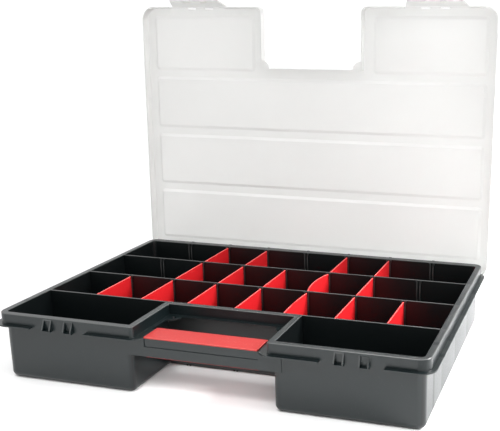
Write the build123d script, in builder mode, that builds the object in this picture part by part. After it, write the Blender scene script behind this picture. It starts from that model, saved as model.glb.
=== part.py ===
"""Compartment organizer with a clear hinged lid, loose dividers and a carrying grip.

Lengths are in millimetres. The origin is the middle of the underside, X runs along the
width, Y from the front with the handle to the hinges, and Z up. The lid is drawn as it
stands open: its frame is the closed position turned about the hinge pins.
"""

import math
import os

from build123d import *

os.makedirs("parts", exist_ok=True)

# Case
rim_width = 450.0
rim_depth = 314.0
tray_height = 72.0
wall = 1.9
floor_thick = 2.0
draft = 0.5
base_round = 7.0
body_corner = 8.0
body_tab_corner = 5.0

# Rim, with its band hanging outside the wall and the ledge that carries the lid
side_overhang = 4.6
rear_overhang = 7.6
rim_thick = 1.8
rim_corner = 11.0
rim_tab_corner = 3.5
rim_bevel = 0.6
band_height = 11.3
band_wall = 1.5
ledge_reach = 5.1
ledge_thick = 1.3
ledge_corner = 16.0
ledge_tab_corner = 8.0
ear_radius = 12.0
ear_hole_radius = 2.8
ear_hole_inset = 4.6

# Compartments
partition = 1.7
row_count = 4
notch_width = 140.0
cell_corner = 4.5
cell_bevel = 0.4

# Divider slots, each a gap between two ribs that spread at the top
slot_count = 7
slot_rib = 1.2
slot_rib_depth = 1.5
slot_rib_top = 1.2
slot_flare = 1.2
slot_flare_height = 6.0
nub_length = 3.0
nub_width = 1.4
nub_height = 0.4

# Dividers
divider_thick = 1.5
divider_top_gap = 1.6
divider_side_clear = 0.45
divider_end_clear = 0.35
divider_floor_clear = 0.1
divider_chamfer = 2.0
divider_bevel = 0.4
strong_bow = 5.5
slight_bow = 1.6

# Latches and their catches
catch_inset = 72.0
catch_pitch = 24.0
catch_width = 10.0
catch_depth = 4.5
catch_rib = 1.5
catch_top_gap = 1.5
catch_foot = 1.0
catch_gap = 62.0
latch_outward = 2.0
latch_root = 76.0
latch_tip = 66.0
latch_thick = 1.5
latch_side_clear = 0.5
latch_clear = 0.3
latch_rest_angle = 22.0
latch_end = 0.2
hook_width = 8.0
hook_reach = 1.9
hook_height = 1.5
window_width = 11.5
window_depth = 1.6
window_inset = 1.0

# Lid
lid_thick = 1.5
lid_rim_clear = 1.0
lid_ledge_clear = 0.3
skirt_thick = 1.6
lid_ear_radius = 10.0
lid_bevel = 0.6
panel_drop = 2.0
panel_slope = 3.4
panel_corner = 5.0
panel_side_margin = -0.2
panel_tab_front_margin = -0.8
panel_front_margin = 1.4
panel_rear_margin = 5.6
panel_tab_margin = 1.6
lid_open_angle = 92.0

# Hinges
hinge_count = 3
hinge_pitch = 150.0
hinge_behind = 1.5
hinge_below = 4.9
pin_radius = 2.0
pin_clear = 0.08
clip_wall = 1.62
clip_width = 18.0
clip_mouth = 3.2
clip_end_clear = 0.5
ear_thick = 2.5
ear_wall = 1.6
ear_foot = 9.0
heel_reach = 7.2
heel_thick = 2.5
stop_clear = 0.3
stop_height = 5.0

# Handle
bar_height = 19.1
bar_depth = 25.7
bar_wall = 2.2
bar_proud = 0.8
bar_pad = 8.4
bar_recess = 0.8
bar_step = 9.1
grip_length = 119.0
grip_end_clear = 0.4
grip_wall = 1.5
grip_lip = 0.7
grip_round = 1.4
grip_setback = 2.5
gusset_width = 6.0

# Heights and edges worked out from the sizes above
rim_front = -rim_depth / 2
rim_rear = rim_depth / 2
rim_under = tray_height - rim_thick
ledge_top = tray_height - band_height
ledge_under = ledge_top - ledge_thick
side_rim = side_overhang + wall
rear_rim = rear_overhang + wall
cell_left = -rim_width / 2 + side_rim
cell_right = rim_width / 2 - side_rim
cell_front = rim_front + side_rim
cell_rear = rim_rear - rear_rim
row_clear = (cell_rear - cell_front - (row_count - 1) * partition) / row_count
row_pitch = row_clear + partition
front_row_rear = cell_front + row_clear
notch_edge = front_row_rear + partition - side_rim
tab_cell_edge = notch_width / 2 + side_rim
body_front = rim_front + side_overhang
body_rear = rim_rear - rear_overhang
body_notch_side = notch_width / 2 + side_overhang


def row_front(row):
    """Y of the front face of a row, counted from the front compartments as row 0."""
    return cell_front + row * row_pitch


def near(value, target):
    return abs(value - target) < 0.001


def case_plan(side, rear, corner, tab_corner, inner_corner=0.0):
    """U-shaped plan of the case, lying outside the rim's edge by side and by rear."""
    half = rim_width / 2 + side
    front = rim_front - side
    back = rim_rear + rear
    notch_half = notch_width / 2 - side
    notch_back = notch_edge - side
    with BuildSketch() as plan:
        with BuildLine():
            Polyline(
                (-half, back),
                (-half, front),
                (-notch_half, front),
                (-notch_half, notch_back),
                (notch_half, notch_back),
                (notch_half, front),
                (half, front),
                (half, back),
                close=True,
            )
        make_face()
        fillet(plan.vertices().filter_by(lambda v: near(abs(v.X), half)), corner)
        tabs = plan.vertices().filter_by(
            lambda v: near(abs(v.X), notch_half) and near(v.Y, front)
        )
        fillet(tabs, tab_corner)
        if inner_corner > 0:
            inner = plan.vertices().filter_by(
                lambda v: near(abs(v.X), notch_half) and near(v.Y, notch_back)
            )
            fillet(inner, inner_corner)
    return plan.sketch


def cell_plan(left, right, front, rear, margins=(0, 0, 0, 0), corner=0.0):
    """Plan of a compartment drawn in by margins left, right, front and rear.

    With no corner given, only the corners next to the case's own are round.
    """
    x0 = left + margins[0]
    x1 = right - margins[1]
    y0 = front + margins[2]
    y1 = rear - margins[3]
    with BuildSketch() as plan:
        with Locations(((x0 + x1) / 2, (y0 + y1) / 2)):
            Rectangle(x1 - x0, y1 - y0)
        if corner > 0:
            fillet(plan.vertices(), corner)
        else:
            outer = plan.vertices().filter_by(
                lambda v: (near(v.X, cell_left) or near(v.X, cell_right))
                and (near(v.Y, cell_front) or near(v.Y, cell_rear))
            )
            if outer:
                fillet(outer, cell_corner)
    return plan.sketch


front_cells = [
    (cell_left, -tab_cell_edge, cell_front, front_row_rear),
    (tab_cell_edge, cell_right, cell_front, front_row_rear),
]
row_cells = [
    (cell_left, cell_right, row_front(row), row_front(row) + row_clear) for row in range(1, row_count)
]

bay = (cell_right - cell_left) / (slot_count + 1)
slots = [cell_left + bay * (i + 1) for i in range(slot_count)]
slot_gap = divider_thick + 2 * divider_side_clear
catch_centres = [-rim_width / 2 + catch_inset, rim_width / 2 - catch_inset]
catches = [x + side * catch_pitch / 2 for x in catch_centres for side in (-1, 1)]
latch_centres = [x + math.copysign(latch_outward, x) for x in catch_centres]
hinges = [hinge_pitch * (i - (hinge_count - 1) / 2) for i in range(hinge_count)]

hinge_y = rim_rear + hinge_behind
hinge_z = ledge_top - hinge_below
bar_top = ledge_top
bar_low = bar_top - bar_height
bar_front = body_front - bar_proud
bar_rear = bar_front + bar_depth
recess_half = grip_length / 2 + grip_end_clear

# Tray: one moulding with its partitions, slot ribs, rim, catches, hinge pins and handle bar
with BuildPart() as tray:
    # Body with a rounded base
    with BuildSketch():
        add(case_plan(-side_overhang, -rear_overhang, body_corner, body_tab_corner))
    extrude(amount=rim_under)
    fillet(tray.faces().sort_by(Axis.Z)[0].edges(), base_round)

    # Rim web, hanging band and ledge
    with BuildSketch(Plane.XY.offset(rim_under)):
        add(case_plan(0, 0, rim_corner, rim_tab_corner))
    extrude(amount=rim_thick)
    chamfer(tray.faces().sort_by(Axis.Z)[-1].edges(), rim_bevel)
    with BuildSketch(Plane.XY.offset(ledge_under)):
        add(case_plan(0, 0, rim_corner, rim_tab_corner))
        add(
            case_plan(-band_wall, -band_wall, rim_corner - band_wall, rim_tab_corner - band_wall),
            mode=Mode.SUBTRACT,
        )
    extrude(amount=rim_under - ledge_under)
    with BuildSketch(Plane.XY.offset(ledge_under)):
        add(case_plan(ledge_reach, 0, ledge_corner, ledge_tab_corner))
        for side in (-1, 1):
            with Locations((side * (notch_width / 2 - ledge_reach), notch_edge - ledge_reach)):
                Circle(ear_radius)
        add(
            case_plan(-band_wall, -band_wall, rim_corner - band_wall, rim_tab_corner - band_wall),
            mode=Mode.SUBTRACT,
        )
        with Locations(*[(x, rim_front - ledge_reach) for x in catch_centres]):
            Rectangle(catch_gap, 2 * ledge_reach, mode=Mode.SUBTRACT)
        for side in (-1, 1):
            with Locations(
                (
                    side * (notch_width / 2 - ledge_reach - ear_hole_inset),
                    notch_edge - ledge_reach - ear_hole_inset,
                )
            ):
                Circle(ear_hole_radius, mode=Mode.SUBTRACT)
    extrude(amount=ledge_thick)

    # Catches: a shelf held by two gussets
    catch_low = ledge_under - catch_foot
    with BuildSketch(*[Plane.YZ.offset(x - catch_width / 2) for x in catches]):
        Polygon(
            (rim_front + band_wall / 2, catch_low),
            (rim_front - catch_depth, catch_low),
            (rim_front - catch_depth, ledge_top),
            (rim_front, tray_height - catch_top_gap),
            (rim_front + band_wall / 2, tray_height - catch_top_gap),
            align=None,
        )
    extrude(amount=catch_width)
    with BuildSketch(Plane.XY.offset(ledge_under)):
        with Locations(*[(x, rim_front - catch_depth) for x in catches]):
            Rectangle(catch_width - 2 * catch_rib, 2 * catch_depth)
    extrude(amount=band_height - catch_top_gap, mode=Mode.SUBTRACT)

    # Handle bar: an inverted channel between the two front compartments
    with BuildSketch(Plane.YZ.offset(-body_notch_side - wall / 2)):
        with Locations(((bar_front + bar_rear) / 2, (bar_low + bar_top) / 2)):
            Rectangle(bar_depth, bar_height)
        with Locations(((bar_front + bar_rear) / 2, bar_low)):
            Rectangle(bar_depth - 2 * bar_wall, 2 * (bar_height - bar_wall), mode=Mode.SUBTRACT)
    extrude(amount=2 * body_notch_side + wall)
    with BuildSketch(Plane.XZ.offset(-(bar_front + bar_wall))):
        for side in (-1, 1):
            with Locations((side * (body_notch_side + bar_pad / 2), (bar_low + bar_top) / 2)):
                Rectangle(bar_pad, bar_height)
    extrude(amount=bar_wall)
    with BuildSketch(Plane.XY.offset(ledge_under)):
        for side in (-1, 1):
            Polygon(
                (side * recess_half, bar_front),
                (side * (recess_half + gusset_width), bar_front),
                (side * (recess_half + gusset_width), bar_front - gusset_width),
                align=None,
            )
    extrude(amount=ledge_thick)
    with BuildSketch(Plane.XZ.offset(-(bar_front + bar_recess))):
        with Locations((0, bar_top - bar_step / 2)):
            Rectangle(2 * recess_half, bar_step)
    extrude(amount=bar_recess, mode=Mode.SUBTRACT)

    # Hinge ears, pins and the pads that stop the open lid
    ear_offset = clip_width / 2 + clip_end_clear
    ear_starts = (-ear_offset - ear_thick, ear_offset)
    with BuildSketch(*[Plane.YZ.offset(x + start) for x in hinges for start in ear_starts]):
        Polygon(
            (body_rear - wall / 2, ledge_top),
            (hinge_y, ledge_top),
            (hinge_y + pin_radius + ear_wall, hinge_z),
            (hinge_y, hinge_z - pin_radius - ear_wall),
            (body_rear - wall / 2, hinge_z - ear_foot),
            align=None,
        )
        with Locations((hinge_y, hinge_z)):
            Circle(pin_radius + ear_wall)
    extrude(amount=ear_thick)
    pad_face = hinge_y - heel_reach - stop_clear
    with BuildSketch(*[Plane.YZ.offset(x - ear_offset) for x in hinges]):
        with Locations((hinge_y, hinge_z)):
            Circle(pin_radius)
        with Locations(((body_rear - wall / 2 + pad_face) / 2, hinge_z)):
            Rectangle(pad_face - body_rear + wall / 2, stop_height)
    extrude(amount=2 * ear_offset)

    # Compartments, drafted so that the walls thicken towards the floor
    with BuildSketch(Plane.XY.offset(tray_height)):
        for cell in front_cells + row_cells:
            add(cell_plan(*cell))
    extrude(amount=tray_height - floor_thick, dir=(0, 0, -1), taper=draft, mode=Mode.SUBTRACT)
    chamfer(tray.faces().sort_by(Axis.Z)[-1].inner_wires().edges(), cell_bevel)

    # Moulding nubs on the rear rim, in line with the slots
    with BuildSketch(Plane.XY.offset(tray_height)):
        with Locations(*[(x, rim_rear - rim_bevel - nub_width / 2) for x in slots]):
            Rectangle(nub_length, nub_width)
    extrude(amount=nub_height)

    # Slot ribs on both walls of each divided row
    rib_top = tray_height - slot_rib_top
    rib_bend = rib_top - slot_flare_height
    rib_root = partition / 4
    rib_faces = [y for cell in row_cells for y in (cell[2] + slot_rib_depth, cell[3] + rib_root)]
    with BuildSketch(*[Plane.XZ.offset(-y) for y in rib_faces]):
        for x in slots:
            for side in (-1, 1):
                inner = x + side * slot_gap / 2
                outer = inner + side * slot_rib
                with BuildLine():
                    Polyline(
                        (inner, floor_thick / 2),
                        (outer, floor_thick / 2),
                        (outer, rib_bend),
                        (outer + side * slot_flare, rib_top),
                        (inner + side * slot_flare, rib_top),
                        (inner, rib_bend),
                        close=True,
                    )
                make_face()
    extrude(amount=slot_rib_depth + rib_root)

tray.part.label = "tray"
export_step(tray.part, "parts/tray.step")

# The lid's frame: the closed lid turned back about the pins
lid_frame = Pos(0, hinge_y, hinge_z) * Rot(-lid_open_angle, 0, 0) * Pos(0, -hinge_y, -hinge_z)
lid_plane = Plane(lid_frame)
lid_side = Plane(lid_frame * Plane.YZ.location)
lid_under = tray_height + lid_rim_clear
lid_top = lid_under + lid_thick
skirt_low = ledge_top + lid_ledge_clear
skirt_inner = ledge_reach - skirt_thick
latch_y = rim_front - ledge_reach - latch_clear - latch_thick / 2
latch_z = lid_under + lid_thick / 2
panel_taper = math.degrees(math.atan2(panel_slope, panel_drop))

panels = [
    (front_cells[0], (panel_side_margin, panel_tab_margin, panel_tab_front_margin, panel_rear_margin)),
    (front_cells[1], (panel_tab_margin, panel_side_margin, panel_tab_front_margin, panel_rear_margin)),
]
for cell in row_cells:
    panels.append((cell, (panel_side_margin, panel_side_margin, panel_front_margin, panel_rear_margin)))

with BuildPart() as lid:
    # Skirt and frame plate
    with BuildSketch(lid_plane.offset(skirt_low)):
        add(case_plan(ledge_reach, ledge_reach, ledge_corner, ledge_tab_corner))
    extrude(amount=lid_top - skirt_low)
    chamfer(lid.faces().sort_by(Axis(lid_plane.origin, lid_plane.z_dir))[-1].edges(), lid_bevel)
    with BuildSketch(lid_plane.offset(skirt_low)):
        add(
            case_plan(
                skirt_inner, skirt_inner, ledge_corner - skirt_thick, ledge_tab_corner - skirt_thick
            )
        )
    extrude(amount=lid_under - skirt_low, mode=Mode.SUBTRACT)

    # Ears in the notch's inner corners
    with BuildSketch(lid_plane.offset(skirt_low)):
        for side in (-1, 1):
            with Locations((side * (notch_width / 2 - ledge_reach), notch_edge - ledge_reach)):
                Circle(lid_ear_radius)
        add(case_plan(skirt_inner, skirt_inner, ledge_corner, ledge_tab_corner), mode=Mode.SUBTRACT)
    extrude(amount=lid_thick)

    # Sunken panels that close the compartments, one slope outside and one inside
    with BuildSketch(lid_plane.offset(lid_under)):
        for cell, margins in panels:
            add(cell_plan(*cell, margins, panel_corner))
    extrude(amount=panel_drop, dir=-lid_plane.z_dir, taper=panel_taper)
    with BuildSketch(lid_plane.offset(lid_top)):
        for cell, margins in panels:
            add(cell_plan(*cell, margins, panel_corner))
    extrude(amount=panel_drop, dir=-lid_plane.z_dir, taper=panel_taper, mode=Mode.SUBTRACT)

    # Room for the latches, and the windows above their hooks
    with BuildSketch(lid_plane.offset(skirt_low)):
        with Locations(*[(x, rim_front - skirt_inner - ledge_reach) for x in latch_centres]):
            Rectangle(latch_root + 2 * latch_side_clear, 2 * ledge_reach)
    extrude(amount=lid_under - skirt_low, mode=Mode.SUBTRACT)
    with BuildSketch(lid_plane.offset(lid_under)):
        with Locations(*[(x, rim_front - ledge_reach + window_inset + window_depth / 2) for x in catches]):
            Rectangle(window_width, window_depth)
    extrude(amount=lid_thick, mode=Mode.SUBTRACT)

    # Hinge clips with their arms and stop heels
    arm_front = rim_rear + skirt_inner
    arm_rear = rim_rear + ledge_reach
    clip_radius = pin_radius + pin_clear + clip_wall
    with BuildSketch(*[lid_side.offset(x - clip_width / 2) for x in hinges]):
        with Locations((hinge_y, hinge_z)):
            Circle(clip_radius)
        with Locations(((arm_front + arm_rear) / 2, (hinge_z + skirt_low + lid_bevel) / 2)):
            Rectangle(arm_rear - arm_front, skirt_low + lid_bevel - hinge_z)
        with Locations((hinge_y, hinge_z - heel_reach / 2)):
            Rectangle(heel_thick, heel_reach)
        with Locations((hinge_y, hinge_z)):
            Circle(pin_radius + pin_clear, mode=Mode.SUBTRACT)
        with Locations((hinge_y - clip_radius / 2, hinge_z)):
            Rectangle(clip_radius, clip_mouth, mode=Mode.SUBTRACT)
    extrude(amount=clip_width)

lid.part.label = "lid"
export_step(lid.part, "parts/lid.step")

# Latches: flaps on the lid's front edge, half open as they spring when released
latch_frame = (
    lid_frame * Pos(0, latch_y, latch_z) * Rot(-latch_rest_angle, 0, 0) * Pos(0, -latch_y, -latch_z)
)
latch_back = Plane(latch_frame * Plane.XZ.location)
latch_side = Plane(latch_frame * Plane.YZ.location)
latch_inner = latch_y + latch_thick / 2
hook_top = catch_low - latch_clear
latch_low = hook_top - hook_height - latch_end

for name, x, catch_x in zip(("latch_left", "latch_right"), latch_centres, catch_centres):
    with BuildPart() as latch:
        # Flap, narrower at its free edge
        with BuildSketch(latch_back.offset(-latch_inner)):
            Polygon(
                (x - latch_root / 2, latch_z),
                (x + latch_root / 2, latch_z),
                (x + latch_tip / 2, latch_low),
                (x - latch_tip / 2, latch_low),
                align=None,
            )
        extrude(amount=latch_thick)
        # Round root that the flap turns on
        with BuildSketch(latch_side.offset(x - latch_root / 2)):
            with Locations((latch_y, latch_z)):
                Circle(latch_thick / 2)
        extrude(amount=latch_root)
        # Hooks that snap under the catches
        hook_starts = [catch_x + side * catch_pitch / 2 - hook_width / 2 for side in (-1, 1)]
        with BuildSketch(*[latch_side.offset(start) for start in hook_starts]):
            Polygon(
                (latch_inner - latch_thick / 2, hook_top),
                (latch_inner + hook_reach, hook_top),
                (latch_inner, hook_top - hook_height),
                (latch_inner - latch_thick / 2, hook_top - hook_height),
                align=None,
            )
        extrude(amount=hook_width)
    latch.part.label = name
    export_step(latch.part, f"parts/{name}.step")

# Grip: a channel that wraps the handle bar from above, behind and below
grip_front = bar_front - grip_lip
grip_rear = bar_rear + grip_wall
grip_top = bar_top + grip_wall
grip_low = bar_low - grip_wall

with BuildPart() as handle_grip:
    with BuildSketch(Plane.YZ.offset(-grip_length / 2)) as grip_section:
        with Locations(((grip_front + grip_rear) / 2, (grip_top + grip_low) / 2)):
            Rectangle(grip_rear - grip_front, grip_top - grip_low)
        fillet(grip_section.vertices().filter_by(lambda v: near(v.X, grip_rear)), grip_round)
        with Locations(((bar_rear + grip_front) / 2, (bar_low + bar_top) / 2)):
            Rectangle(bar_rear - grip_front, bar_height, mode=Mode.SUBTRACT)
        with Locations(((grip_front + bar_front + grip_setback) / 2, bar_low)):
            Rectangle(grip_setback + grip_lip, 2 * bar_wall, mode=Mode.SUBTRACT)
    extrude(amount=grip_length)

handle_grip.part.label = "handle_grip"
export_step(handle_grip.part, "parts/handle_grip.step")

# Dividers: loose plates in the slots of the three divided rows
divider_low = floor_thick + divider_floor_clear
divider_top = tray_height - divider_top_gap
lean = math.tan(math.radians(draft))
filled_slots = {
    "front": (1, 2, 3, 4, 5, 6, 7),
    "middle": (2, 3, 4, 5, 6),
    "rear": (2, 3, 5, 6),
}
bows = {("middle", 5): strong_bow, ("front", 5): slight_bow}

for row_name, cell in zip(filled_slots, row_cells):
    front_end = cell[2] + divider_end_clear + lean * divider_top_gap
    rear_end = cell[3] - divider_end_clear - lean * divider_top_gap
    draw_in = lean * (divider_top - divider_low)
    middle_y = (front_end + rear_end) / 2
    for slot in filled_slots[row_name]:
        x = slots[slot - 1]
        bow = bows.get((row_name, slot), 0.0)
        with BuildPart() as divider:
            # Plan, straight or bowed to the left
            with BuildSketch(Plane.XY.offset(divider_low)):
                if bow > 0:
                    with BuildLine():
                        left = x - divider_thick / 2
                        right = x + divider_thick / 2
                        ThreePointArc((left, front_end), (left - bow, middle_y), (left, rear_end))
                        Line((left, rear_end), (right, rear_end))
                        ThreePointArc((right, rear_end), (right - bow, middle_y), (right, front_end))
                        Line((right, front_end), (left, front_end))
                    make_face()
                else:
                    with Locations((x, middle_y)):
                        Rectangle(divider_thick, rear_end - front_end)
            extrude(amount=divider_top - divider_low)
            # Side view, following the draft of the walls, with lead-in corners below
            with BuildSketch(Plane.YZ.offset(x - bow - divider_thick)):
                Polygon(
                    (front_end, divider_top),
                    (rear_end, divider_top),
                    (rear_end - draw_in, divider_low + divider_chamfer),
                    (rear_end - draw_in - divider_chamfer, divider_low),
                    (front_end + draw_in + divider_chamfer, divider_low),
                    (front_end + draw_in, divider_low + divider_chamfer),
                    align=None,
                )
            extrude(amount=bow + 2 * divider_thick, mode=Mode.INTERSECT)
            chamfer(divider.edges().group_by(Axis.Z)[-1], divider_bevel)
        divider.part.label = f"divider_{row_name}_{slot}"
        export_step(divider.part, f"parts/{divider.part.label}.step")
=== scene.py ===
"""Looks of the compartment organizer: charcoal tray, milky clear lid, red dividers and grip."""

import math

import bpy
import numpy as np
from mathutils import Matrix, Vector


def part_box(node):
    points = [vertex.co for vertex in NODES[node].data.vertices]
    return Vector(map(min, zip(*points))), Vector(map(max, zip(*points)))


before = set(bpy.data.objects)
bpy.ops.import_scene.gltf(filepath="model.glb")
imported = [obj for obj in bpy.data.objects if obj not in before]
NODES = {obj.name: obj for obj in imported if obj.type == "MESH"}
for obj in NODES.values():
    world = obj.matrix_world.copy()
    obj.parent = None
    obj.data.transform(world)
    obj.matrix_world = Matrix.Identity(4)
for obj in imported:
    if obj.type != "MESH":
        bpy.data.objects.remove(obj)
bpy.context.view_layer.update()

bl_info = {
    "name": "Compartment organizer",
    "version": (1, 0, 0),
    "blender": (4, 5, 0),
    "location": "View3D > Sidebar > Organizer",
    "description": "Finishes a hinged organizer case with loose dividers",
    "category": "Object",
}

DIVIDERS = sorted(name for name in NODES if name.startswith("divider_"))
CLEAR_PIECES = ("lid", "latch_left", "latch_right")


def middle(name):
    """Middle of a CAD node at rest, in metres."""
    low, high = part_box(name)
    return (low + high) / 2


# Pitches of the slots and rows, measured between dividers of the frame

SLOT_PITCH = middle("divider_front_3").x - middle("divider_front_2").x
ROW_PITCH = middle("divider_rear_2").y - middle("divider_middle_2").y
MIDDLE_PARTITION = (middle("divider_front_2").y + middle("divider_middle_2").y) / 2

# Edges of the cells' and the notch's zone, in metres: in walls and floor, and just under the rim's top

CELLS_HALF_WIDTH = 0.2194
CELLS_FRONT = -0.1512
CELLS_REAR = 0.1484
CELLS_BOTTOM = 0.001
CELLS_TOP = 0.0714
NOTCH_HALF_WIDTH = 0.0755
NOTCH_REAR = -0.0787

# Slot ribs, in metres: their sides from the slot's middle, the rows they lie in, and the fading of
# their painted highlight

RIB_NEAR = 0.00117
RIB_FAR = 0.00243
RIBS_FRONT = -0.0766
RIBS_HALF_WIDTH = 0.2
RIB_FADED = 0.035
RIB_FULL = 0.068

# Swell of the side walls, from where it is 0 to where it is full: across the wall, and along Y

SWELL_FACE = (0.2188, 0.2192)
SWELL_FRONT = (-0.12, -0.11)

# Depths of the moulded grain, in metres, and its slow waves: turns a metre, and share of the height

CHARCOAL_GRAIN = 0.00006
GLOSSY_GRAIN = 0.00004
WAVES = 14.0
WAVE_SHARE = 3.0

# Marks of handling: turns a metre of the noise, and where on it each mark starts and is full

STREAKS = (900.0, 45.0, 300.0)
STREAK_TURN = (0.3, 0.5, 0.6)
STREAK_RANGE = (0.62, 0.74)
PATCHES = 22.0
PATCH_RANGE = (0.52, 0.66)
SPECKS = 700.0
SPECK_RANGE = (0.66, 0.76)

# How far a face looks up: where the painted edge highlight starts and is full, and the face that
# counts as level

SLANT_RANGE = (0.3, 0.5)
LEVEL = 0.93

# How far a face looks along Y: where it starts to be a face of a slot rib, and where it is one

RIB_FACING = (0.4, 0.6)

# Colours that scuffs and dust bring out, and the paler colours of painted highlights on upper edges
# and slot ribs

CHARCOAL_HIGHLIGHT = (0.12, 0.124, 0.123, 1)
CHARCOAL_SCUFFED = (0.05, 0.053, 0.053, 1)
CHARCOAL_DUST = (0.2, 0.2, 0.19, 1)
CLEAR_SCUFFED = (0.95, 0.95, 0.94, 1)
RED_HIGHLIGHT = (0.95, 0.30, 0.26, 1)
RED_SCUFFED = (0.85, 0.2, 0.18, 1)
RED_DUST = (0.8, 0.5, 0.45, 1)

# Rounding of the CAD pieces

WELD_DISTANCE = 0.00001
FLAT_ANGLE = math.radians(0.5)
SHARP_ANGLE = math.radians(40)

# White room: its strength behind and before the object, and the slope and range of the change

ROOM_BEHIND = 1.13
ROOM_BEFORE = 0.82
ROOM_SLOPE = 0.9
ROOM_RANGE = (-0.9, 0.1)

# Lamps: name, place and target in metres, disk size in metres, power in watts, spread in degrees

LAMPS = (
    ("key", (2.6, -0.2, 1.25), (0, 0, 0.05), 1.4, 40.0, 180),
    ("side", (1.1, 0.5, 0.9), (0.5, 0.12, 0), 0.5, 4.2, 50),
    ("pool", (0, -0.85, 1.3), (0, -0.3, 0), 0.4, 0.7, 45),
)

# Camera: place and nearest distance in metres, angles in degrees, lens and sensor in millimetres

CAMERA_PLACE = (0.35766, -0.83234, 0.35954)
CAMERA_AZIMUTH = 16.016
CAMERA_ELEVATION = 15.052
CAMERA_ROLL = 0.109
CAMERA_NEAREST = 0.01
LENS_LENGTH = 60.6155
LENS_SHIFT = (-0.22702, 0.063)
SENSOR_WIDTH = 36.0


# Settings that a user would change


class OrganizerColours(bpy.types.PropertyGroup):
    """Colours of the plastics"""

    tray: bpy.props.FloatVectorProperty(
        name="Tray",
        description="Charcoal of the tray",
        subtype="COLOR",
        size=3,
        default=(0.0045, 0.0088, 0.0098),
    )
    lid: bpy.props.FloatVectorProperty(
        name="Lid",
        description="Milky tint of the lid",
        subtype="COLOR",
        size=3,
        default=(0.85, 0.85, 0.837),
    )
    divider: bpy.props.FloatVectorProperty(
        name="Dividers",
        description="Red of the dividers",
        subtype="COLOR",
        size=3,
        default=(0.69, 0.015, 0.020),
    )
    grip: bpy.props.FloatVectorProperty(
        name="Grip",
        description="Red of the grip",
        subtype="COLOR",
        size=3,
        default=(0.43, 0.013, 0.011),
    )


class OrganizerSizes(bpy.types.PropertyGroup):
    """Sizes that the finishes and the floor follow"""

    edge: bpy.props.FloatProperty(
        name="Edge",
        description="Width of the rounding on moulded edges",
        unit="LENGTH",
        default=0.0003,
    )
    grain: bpy.props.FloatProperty(
        name="Grain",
        description="Size of the moulded grain",
        unit="LENGTH",
        default=0.0006,
    )
    swell: bpy.props.FloatProperty(
        name="Swell",
        description="Swelling of the side walls between partitions",
        unit="LENGTH",
        default=0.0008,
    )
    row_pitch: bpy.props.FloatProperty(
        name="Row pitch",
        description="Distance between the tray's partitions",
        unit="LENGTH",
        default=ROW_PITCH,
    )
    slot_pitch: bpy.props.FloatProperty(
        name="Slot pitch",
        description="Distance between the divider slots",
        unit="LENGTH",
        default=SLOT_PITCH,
    )
    partition_y: bpy.props.FloatProperty(
        name="Partition",
        description="Place of the middle partition",
        unit="LENGTH",
        default=MIDDLE_PARTITION,
    )
    floor: bpy.props.FloatProperty(
        name="Floor",
        description="Half width of the floor",
        unit="LENGTH",
        default=6.0,
    )


# Small helpers for node trees


def add_node(tree, kind, values=None, **settings):
    """A node of a kind, with its settings and the values of its named inputs."""
    node = tree.nodes.new(kind)
    for name, value in settings.items():
        setattr(node, name, value)
    for name, value in (values or {}).items():
        node.inputs[name].default_value = value
    return node


def feed(tree, socket, value):
    """Joins a socket to another one, or gives it a plain value."""
    if isinstance(value, bpy.types.NodeSocket):
        tree.links.new(value, socket)
    else:
        socket.default_value = value


def maths(tree, operation, *values):
    """Result of a Math node whose inputs are sockets or plain numbers."""
    node = add_node(tree, "ShaderNodeMath", operation=operation)
    for socket, value in zip(node.inputs, values):
        feed(tree, socket, value)
    return node.outputs["Value"]


def product(tree, *values):
    """All the values multiplied together."""
    result = values[0]
    for value in values[1:]:
        result = maths(tree, "MULTIPLY", result, value)
    return result


def between(tree, value, low, high):
    """1 where a value lies between two numbers, else 0."""
    over = maths(tree, "GREATER_THAN", value, low)
    return product(tree, over, maths(tree, "LESS_THAN", value, high))


def ramp(tree, value, low, high):
    """Value turned to 0 at low and 1 at high, with soft ends."""
    bounds = {"From Min": low, "From Max": high}
    node = add_node(tree, "ShaderNodeMapRange", bounds, interpolation_type="SMOOTHSTEP")
    tree.links.new(value, node.inputs["Value"])
    return node.outputs["Result"]


def components(tree, vector):
    """The X, Y and Z outputs that a vector splits into."""
    node = add_node(tree, "ShaderNodeSeparateXYZ")
    tree.links.new(vector, node.inputs["Vector"])
    return node.outputs


def noise(tree, place, scale, detail, roughness=0.5):
    """Noise from 0 to 1 over a place; scale is a number or a socket."""
    node = add_node(tree, "ShaderNodeTexNoise", {"Detail": detail, "Roughness": roughness})
    tree.links.new(place, node.inputs["Vector"])
    feed(tree, node.inputs["Scale"], scale)
    return node.outputs["Fac"]


def mix_colour(tree, factor, first, second):
    """Colour that goes from first to second by factor."""
    node = add_node(tree, "ShaderNodeMix", data_type="RGBA")
    feed(tree, node.inputs["Factor"], factor)
    colours = [socket for socket in node.inputs if socket.type == "RGBA"]
    feed(tree, colours[0], first)
    feed(tree, colours[1], second)
    return next(socket for socket in node.outputs if socket.type == "RGBA")


def tone(colour, factor):
    """A colour made darker or lighter by a factor."""
    return tuple(min(1.0, channel * factor) for channel in colour[:3]) + (1.0,)


# Effects that several materials share


def new_group(name, inputs, outputs):
    """An empty shader group with named sockets; gives the tree and its two end nodes."""
    tree = bpy.data.node_groups.new(name, "ShaderNodeTree")
    for label, kind in inputs:
        tree.interface.new_socket(label, in_out="INPUT", socket_type=kind)
    for label, kind in outputs:
        tree.interface.new_socket(label, in_out="OUTPUT", socket_type=kind)
    return tree, tree.nodes.new("NodeGroupInput"), tree.nodes.new("NodeGroupOutput")


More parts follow.
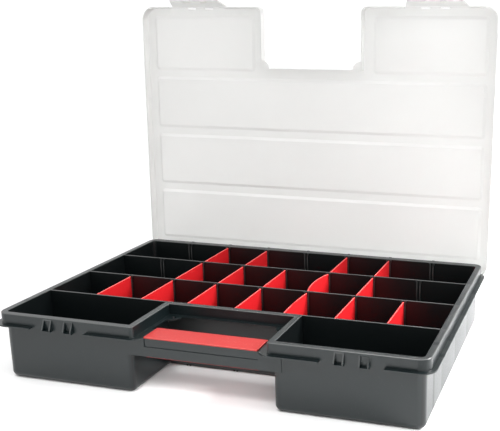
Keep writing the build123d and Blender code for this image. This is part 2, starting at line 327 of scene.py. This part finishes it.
def moulded_grain_group():
    """Fine spark grain of a steel mould, and slow waves of the flowing plastic that add to it."""
    tree, start, end = new_group(
        "moulded_grain",
        [("Position", "NodeSocketVector"), ("Grain Size", "NodeSocketFloat")],
        [("Height", "NodeSocketFloat"), ("Tone", "NodeSocketFloat")],
    )
    place = start.outputs["Position"]
    scale = maths(tree, "DIVIDE", 1.0, start.outputs["Grain Size"])
    fine = noise(tree, place, scale, detail=2.0, roughness=0.6)
    slow = noise(tree, place, WAVES, detail=2.0)
    height = maths(tree, "ADD", fine, product(tree, slow, WAVE_SHARE))
    tree.links.new(height, end.inputs["Height"])
    tree.links.new(slow, end.inputs["Tone"])
    return tree


def handling_group():
    """Scuffs from handling: thin stretched streaks in patches, and specks of dust on upward faces."""
    tree, start, end = new_group(
        "handling",
        [("Position", "NodeSocketVector"), ("Upward", "NodeSocketFloat")],
        [("Scuffs", "NodeSocketFloat"), ("Dust", "NodeSocketFloat")],
    )
    place = start.outputs["Position"]
    stretch = add_node(tree, "ShaderNodeMapping", {"Rotation": STREAK_TURN, "Scale": STREAKS})
    tree.links.new(place, stretch.inputs["Vector"])
    streaks = ramp(tree, noise(tree, stretch.outputs["Vector"], 1.0, detail=2.0), *STREAK_RANGE)
    patches = ramp(tree, noise(tree, place, PATCHES, detail=3.0), *PATCH_RANGE)
    specks = ramp(tree, noise(tree, place, SPECKS, detail=1.0), *SPECK_RANGE)
    tree.links.new(product(tree, streaks, patches), end.inputs["Scuffs"])
    tree.links.new(product(tree, specks, start.outputs["Upward"]), end.inputs["Dust"])
    return tree


def edge_highlight_group():
    """Painted highlight on the slanted faces of upper edges; level faces get none."""
    tree, start, end = new_group(
        "edge_highlight",
        [("Upward", "NodeSocketFloat")],
        [("Highlight", "NodeSocketFloat")],
    )
    upward = start.outputs["Upward"]
    slanted = maths(tree, "LESS_THAN", upward, LEVEL)
    slanted_highlight = product(tree, ramp(tree, upward, *SLANT_RANGE), slanted)
    tree.links.new(slanted_highlight, end.inputs["Highlight"])
    return tree


EFFECTS = {
    "moulded_grain": moulded_grain_group,
    "handling": handling_group,
    "edge_highlight": edge_highlight_group,
}


class Plastic:
    """A plastic material in the making: its node tree, and the colour and roughness so far."""

    def __init__(self, name, colour, darkest, palest, roughness, grain_size):
        """Starts with grain, marks and a colour that goes from its darkest to its palest tone."""
        self.material = bpy.data.materials.new(name)
        self.material.use_nodes = True
        self.tree = self.material.node_tree
        self.shader = self.tree.nodes["Principled BSDF"]
        self.place = add_node(self.tree, "ShaderNodeTexCoord").outputs["Object"]
        normal = add_node(self.tree, "ShaderNodeNewGeometry").outputs["Normal"]
        self.facing = components(self.tree, normal)
        self.upward = maths(self.tree, "MAXIMUM", self.facing["Z"], 0.0)
        self.grain = self.effect("moulded_grain", {"Position": self.place, "Grain Size": grain_size})
        self.marks = self.effect("handling", {"Position": self.place, "Upward": self.upward})
        self.colour = mix_colour(
            self.tree, self.grain["Tone"], tone(colour, darkest), tone(colour, palest)
        )
        self.roughness = roughness

    def effect(self, name, values):
        """Outputs of a shared effect, which is built at its first use, placed with its own values."""
        group = bpy.data.node_groups.get(name) or EFFECTS[name]()
        node = add_node(self.tree, "ShaderNodeGroup", node_tree=group)
        for label, value in values.items():
            feed(self.tree, node.inputs[label], value)
        return node.outputs

    def paint_stain_and_light(self, mask, share, colour):
        """The colour goes to another one by a share of the mask; used for real scuffs and dust as well
        as for painted shade and highlights.
        """
        self.colour = mix_colour(self.tree, product(self.tree, mask, share), self.colour, colour)

    def highlight_edges(self, share, colour):
        """Upper edges take a paler colour: a painted highlight."""
        self.paint_stain_and_light(self.effect("edge_highlight", {"Upward": self.upward})["Highlight"], share, colour)

    def roughen(self, mask, amount):
        """The roughness grows by an amount where the mask is 1."""
        self.roughness = maths(self.tree, "MULTIPLY_ADD", mask, amount, self.roughness)

    def finish(self, height, depth, strength, ior):
        """Joins colour, roughness and a bump of that depth to the shader; gives the material."""
        bump = add_node(self.tree, "ShaderNodeBump", {"Strength": strength, "Distance": depth})
        self.tree.links.new(height, bump.inputs["Height"])
        self.tree.links.new(self.colour, self.shader.inputs["Base Color"])
        self.tree.links.new(self.roughness, self.shader.inputs["Roughness"])
        self.tree.links.new(bump.outputs["Normal"], self.shader.inputs["Normal"])
        self.shader.inputs["IOR"].default_value = ior
        return self.material


# The tray's charcoal plastic


def inside_mask(tree, position):
    """1 inside the compartments and 0 on the tray's outer walls, rim and notch."""
    across = maths(tree, "ABSOLUTE", position["X"])
    in_notch = product(
        tree,
        maths(tree, "LESS_THAN", position["Y"], NOTCH_REAR),
        maths(tree, "LESS_THAN", across, NOTCH_HALF_WIDTH),
    )
    return product(
        tree,
        maths(tree, "LESS_THAN", across, CELLS_HALF_WIDTH),
        between(tree, position["Y"], CELLS_FRONT, CELLS_REAR),
        between(tree, position["Z"], CELLS_BOTTOM, CELLS_TOP),
        maths(tree, "SUBTRACT", 1.0, in_notch),
    )


def rib_mask(tree, position, facing, inside, pitch):
    """1 on the faces of the slot ribs, fading out towards the floor.

    In pitches, X lies from the nearest slot by the fraction of (X / pitch + 0.5), less 0.5.
    """
    slots = maths(tree, "ADD", maths(tree, "DIVIDE", position["X"], pitch), 0.5)
    offset = maths(tree, "SUBTRACT", maths(tree, "FRACT", slots), 0.5)
    return product(
        tree,
        inside,
        between(tree, maths(tree, "ABSOLUTE", offset), RIB_NEAR / pitch, RIB_FAR / pitch),
        maths(tree, "GREATER_THAN", position["Y"], RIBS_FRONT),
        maths(tree, "LESS_THAN", maths(tree, "ABSOLUTE", position["X"]), RIBS_HALF_WIDTH),
        ramp(tree, position["Z"], RIB_FADED, RIB_FULL),
        ramp(tree, maths(tree, "ABSOLUTE", facing["Y"]), *RIB_FACING),
    )


def wall_swell(tree, position, sizes):
    """Half a sine wave on the outer side walls from each partition to the next, and 0 elsewhere."""
    from_partition = maths(tree, "SUBTRACT", position["Y"], sizes.partition_y)
    row = maths(tree, "FRACT", maths(tree, "DIVIDE", from_partition, sizes.row_pitch))
    return product(
        tree,
        maths(tree, "SINE", product(tree, row, math.pi)),
        ramp(tree, maths(tree, "ABSOLUTE", position["X"]), *SWELL_FACE),
        ramp(tree, position["Y"], *SWELL_FRONT),
    )


def charcoal_material(colours, sizes):
    """Satin charcoal plastic with painted shade inside the compartments and painted highlights on
    upper edges and slot ribs; sink lines cross the side walls at each partition.
    """
    plastic = Plastic(
        "charcoal_plastic",
        colours.tray,
        darkest=0.8,
        palest=1.25,
        roughness=0.26,
        grain_size=sizes.grain,
    )
    tree = plastic.tree
    position = components(tree, plastic.place)
    inside = inside_mask(tree, position)
    rib_highlight = rib_mask(tree, position, plastic.facing, inside, sizes.slot_pitch)
    plastic.paint_stain_and_light(plastic.marks["Scuffs"], share=0.35, colour=CHARCOAL_SCUFFED)
    plastic.paint_stain_and_light(plastic.marks["Dust"], share=0.25, colour=CHARCOAL_DUST)
    # Painted shade: the inside of the compartments is darkened to 0.4 of the charcoal
    plastic.paint_stain_and_light(inside, share=1.0, colour=tone(colours.tray, 0.4))
    # Painted highlight: the faces of the slot ribs are lightened, fading out towards the floor
    plastic.paint_stain_and_light(rib_highlight, share=0.6, colour=CHARCOAL_HIGHLIGHT)
    # Painted highlight: the upper edges are lightened
    plastic.highlight_edges(share=0.65, colour=CHARCOAL_HIGHLIGHT)
    plastic.roughen(plastic.grain["Tone"], amount=0.08)
    plastic.roughen(plastic.marks["Scuffs"], amount=0.12)
    plastic.roughen(inside, amount=0.08)
    swell = wall_swell(tree, position, sizes)
    swell_in_grains = sizes.swell / CHARCOAL_GRAIN
    height = maths(tree, "MULTIPLY_ADD", swell, swell_in_grains, plastic.grain["Height"])
    return plastic.finish(height, CHARCOAL_GRAIN, strength=1.0, ior=1.5)


# The other plastics


def clear_material(colours, sizes):
    """Milky clear plastic: half the light passes, and the rest spreads inside the sheet."""
    plastic = Plastic(
        "milky_clear_plastic",
        colours.lid,
        darkest=0.97,
        palest=1.03,
        roughness=0.3,
        grain_size=sizes.grain,
    )
    plastic.paint_stain_and_light(plastic.marks["Scuffs"], share=0.3, colour=CLEAR_SCUFFED)
    plastic.roughen(plastic.grain["Tone"], amount=0.12)
    plastic.roughen(plastic.marks["Scuffs"], amount=0.15)
    shader = plastic.shader
    shader.inputs["Transmission Weight"].default_value = 0.5
    shader.inputs["Subsurface Weight"].default_value = 1.0
    shader.inputs["Subsurface Radius"].default_value = (1.0, 1.0, 1.0)
    shader.inputs["Subsurface Scale"].default_value = 0.003
    return plastic.finish(plastic.grain["Height"], GLOSSY_GRAIN, strength=0.5, ior=1.49)


def red_material(name, colour, sizes, roughness):
    """Red plastic with moulded grain, pale scuffs and dust, and a painted highlight on its upper
    edges.
    """
    plastic = Plastic(
        name,
        colour,
        darkest=0.9,
        palest=1.08,
        roughness=roughness,
        grain_size=sizes.grain,
    )
    plastic.paint_stain_and_light(plastic.marks["Scuffs"], share=0.25, colour=RED_SCUFFED)
    plastic.paint_stain_and_light(plastic.marks["Dust"], share=0.2, colour=RED_DUST)
    # Painted highlight: the upper edges turn a paler red
    plastic.highlight_edges(share=0.5, colour=RED_HIGHLIGHT)
    plastic.roughen(plastic.grain["Tone"], amount=0.1)
    return plastic.finish(plastic.grain["Height"], GLOSSY_GRAIN, strength=0.6, ior=1.5)


def finish_node(name, material, edge):
    """Gives a CAD node its material and rounds its sharp edges, which catch the light."""
    piece = NODES[name]
    piece.data.materials.clear()
    piece.data.materials.append(material)
    weld = piece.modifiers.new("weld", "WELD")
    weld.merge_threshold = WELD_DISTANCE
    flats = piece.modifiers.new("flats", "DECIMATE")
    flats.decimate_type = "DISSOLVE"
    flats.angle_limit = FLAT_ANGLE
    rounding = piece.modifiers.new("edge", "BEVEL")
    rounding.width = edge
    rounding.segments = 2
    rounding.limit_method = "ANGLE"
    rounding.angle_limit = SHARP_ANGLE
    rounding.use_clamp_overlap = True


# The stage


def pale_floor(half_width):
    """A square floor at height 0 with a plain pale finish."""
    corners = half_width * np.array([(-1, -1, 0), (1, -1, 0), (1, 1, 0), (-1, 1, 0)])
    mesh = bpy.data.meshes.new("floor")
    mesh.from_pydata(corners.tolist(), [], [(0, 1, 2, 3)])
    floor = bpy.data.objects.new("floor", mesh)
    material = bpy.data.materials.new("pale_floor")
    material.use_nodes = True
    shader = material.node_tree.nodes["Principled BSDF"]
    shader.inputs["Base Color"].default_value = (0.95, 0.95, 0.95, 1)
    shader.inputs["Roughness"].default_value = 0.9
    shader.inputs["Specular IOR Level"].default_value = 0.1
    mesh.materials.append(material)
    return floor


def white_room():
    """A world that is dimmer on the camera's side: it brightens with Y + ROOM_SLOPE Z of the view."""
    world = bpy.data.worlds.new("white_room")
    world.use_nodes = True
    tree = world.node_tree
    way = components(tree, add_node(tree, "ShaderNodeTexCoord").outputs["Generated"])
    rise = maths(tree, "MULTIPLY_ADD", way["Z"], ROOM_SLOPE, way["Y"])
    share = ramp(tree, rise, *ROOM_RANGE)
    strength = maths(tree, "MULTIPLY_ADD", share, ROOM_BEHIND - ROOM_BEFORE, ROOM_BEFORE)
    background = tree.nodes["Background"]
    background.inputs["Color"].default_value = (1.0, 1.0, 1.0, 1)
    tree.links.new(strength, background.inputs["Strength"])
    return world


def soft_lamp(name, place, target, size, power, spread):
    """A white disk lamp at a place that faces a target."""
    lamp = bpy.data.lights.new(name, "AREA")
    lamp.shape = "DISK"
    lamp.size = size
    lamp.energy = power
    lamp.spread = math.radians(spread)
    holder = bpy.data.objects.new(name, lamp)
    holder.location = place
    aim = Vector(target) - Vector(place)
    holder.rotation_euler = aim.to_track_quat("-Z", "Y").to_euler()
    return holder


def look_matrix(place, azimuth, elevation, roll):
    """Camera matrix from its place and angles in degrees; azimuth 0 looks along +Y."""
    az, el, turn = (math.radians(angle) for angle in (azimuth, elevation, roll))
    forward = Vector((-math.sin(az) * math.cos(el), math.cos(az) * math.cos(el), -math.sin(el)))
    right = Vector((math.cos(az), math.sin(az), 0.0))
    up = right.cross(forward)
    rolled_right = math.cos(turn) * right + math.sin(turn) * up
    rolled_up = -math.sin(turn) * right + math.cos(turn) * up
    matrix = Matrix((rolled_right, rolled_up, -forward)).transposed().to_4x4()
    matrix.translation = place
    return matrix


def photo_camera():
    """The camera at the photograph's place, with its shifted lens."""
    lens = bpy.data.cameras.new("camera")
    lens.sensor_width = SENSOR_WIDTH
    lens.lens = LENS_LENGTH
    lens.shift_x, lens.shift_y = LENS_SHIFT
    lens.clip_start = CAMERA_NEAREST
    camera = bpy.data.objects.new("camera", lens)
    camera.matrix_world = look_matrix(CAMERA_PLACE, CAMERA_AZIMUTH, CAMERA_ELEVATION, CAMERA_ROLL)
    return camera


class ORGANIZER_OT_stage(bpy.types.Operator):
    """Adds the floor, the white room, the lamps and the camera"""

    bl_idname = "organizer.stage"
    bl_label = "Stage"

    def execute(self, context):
        """Adds them to the scene."""
        scene = context.scene
        floor = pale_floor(scene.organizer_sizes.floor)
        scene.collection.objects.link(floor)
        scene.world = white_room()
        for lamp in LAMPS:
            scene.collection.objects.link(soft_lamp(*lamp))
        scene.camera = photo_camera()
        scene.collection.objects.link(scene.camera)
        scene.view_settings.view_transform = "Standard"
        return {"FINISHED"}


# The pieces


class ORGANIZER_OT_tray(bpy.types.Operator):
    """Finishes the charcoal tray"""

    bl_idname = "organizer.tray"
    bl_label = "Tray"

    def execute(self, context):
        """Gives the tray its plastic and rounded edges."""
        colours = context.scene.organizer_colours
        sizes = context.scene.organizer_sizes
        finish_node("tray", charcoal_material(colours, sizes), sizes.edge)
        return {"FINISHED"}


class ORGANIZER_OT_lid(bpy.types.Operator):
    """Finishes the clear lid and its two latch flaps"""

    bl_idname = "organizer.lid"
    bl_label = "Lid and latches"

    def execute(self, context):
        """Gives the lid and latches one plastic and rounded edges."""
        sizes = context.scene.organizer_sizes
        material = clear_material(context.scene.organizer_colours, sizes)
        for name in CLEAR_PIECES:
            finish_node(name, material, sizes.edge)
        return {"FINISHED"}


class ORGANIZER_OT_grip(bpy.types.Operator):
    """Finishes the red grip on the handle bar"""

    bl_idname = "organizer.grip"
    bl_label = "Grip"

    def execute(self, context):
        """Gives the grip its satin red and rounded edges."""
        sizes = context.scene.organizer_sizes
        colour = context.scene.organizer_colours.grip
        material = red_material("grip_red", colour, sizes, roughness=0.37)
        finish_node("handle_grip", material, sizes.edge)
        return {"FINISHED"}


class ORGANIZER_OT_dividers(bpy.types.Operator):
    """Finishes the loose red dividers"""

    bl_idname = "organizer.dividers"
    bl_label = "Dividers"

    def execute(self, context):
        """Gives all the dividers one red and rounded edges."""
        sizes = context.scene.organizer_sizes
        colour = context.scene.organizer_colours.divider
        material = red_material("divider_red", colour, sizes, roughness=0.31)
        for name in DIVIDERS:
            finish_node(name, material, sizes.edge)
        return {"FINISHED"}


class ORGANIZER_PT_panel(bpy.types.Panel):
    """Lists the settings and steps of the organizer"""

    bl_idname = "ORGANIZER_PT_panel"
    bl_label = "Organizer"
    bl_space_type = "VIEW_3D"
    bl_region_type = "UI"
    bl_category = "Organizer"

    def draw(self, context):
        """Shows each setting, then a button for each step."""
        for group in (context.scene.organizer_colours, context.scene.organizer_sizes):
            for setting in type(group).__annotations__:
                self.layout.prop(group, setting)
        for operator in OPERATORS:
            self.layout.operator(operator.bl_idname)


OPERATORS = (
    ORGANIZER_OT_stage,
    ORGANIZER_OT_tray,
    ORGANIZER_OT_lid,
    ORGANIZER_OT_grip,
    ORGANIZER_OT_dividers,
)
CLASSES = (OrganizerColours, OrganizerSizes) + OPERATORS + (ORGANIZER_PT_panel,)


def register():
    """Registers the classes and adds the settings to the scene."""
    for item in CLASSES:
        bpy.utils.register_class(item)
    bpy.types.Scene.organizer_colours = bpy.props.PointerProperty(type=OrganizerColours)
    bpy.types.Scene.organizer_sizes = bpy.props.PointerProperty(type=OrganizerSizes)


def unregister():
    """Removes the settings and the classes again."""
    del bpy.types.Scene.organizer_sizes
    del bpy.types.Scene.organizer_colours
    for item in reversed(CLASSES):
        bpy.utils.unregister_class(item)


def main():
    """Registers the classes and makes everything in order."""
    register()
    bpy.ops.organizer.stage()
    bpy.ops.organizer.tray()
    bpy.ops.organizer.lid()
    bpy.ops.organizer.grip()
    bpy.ops.organizer.dividers()


if __name__ == "__main__":
    main()
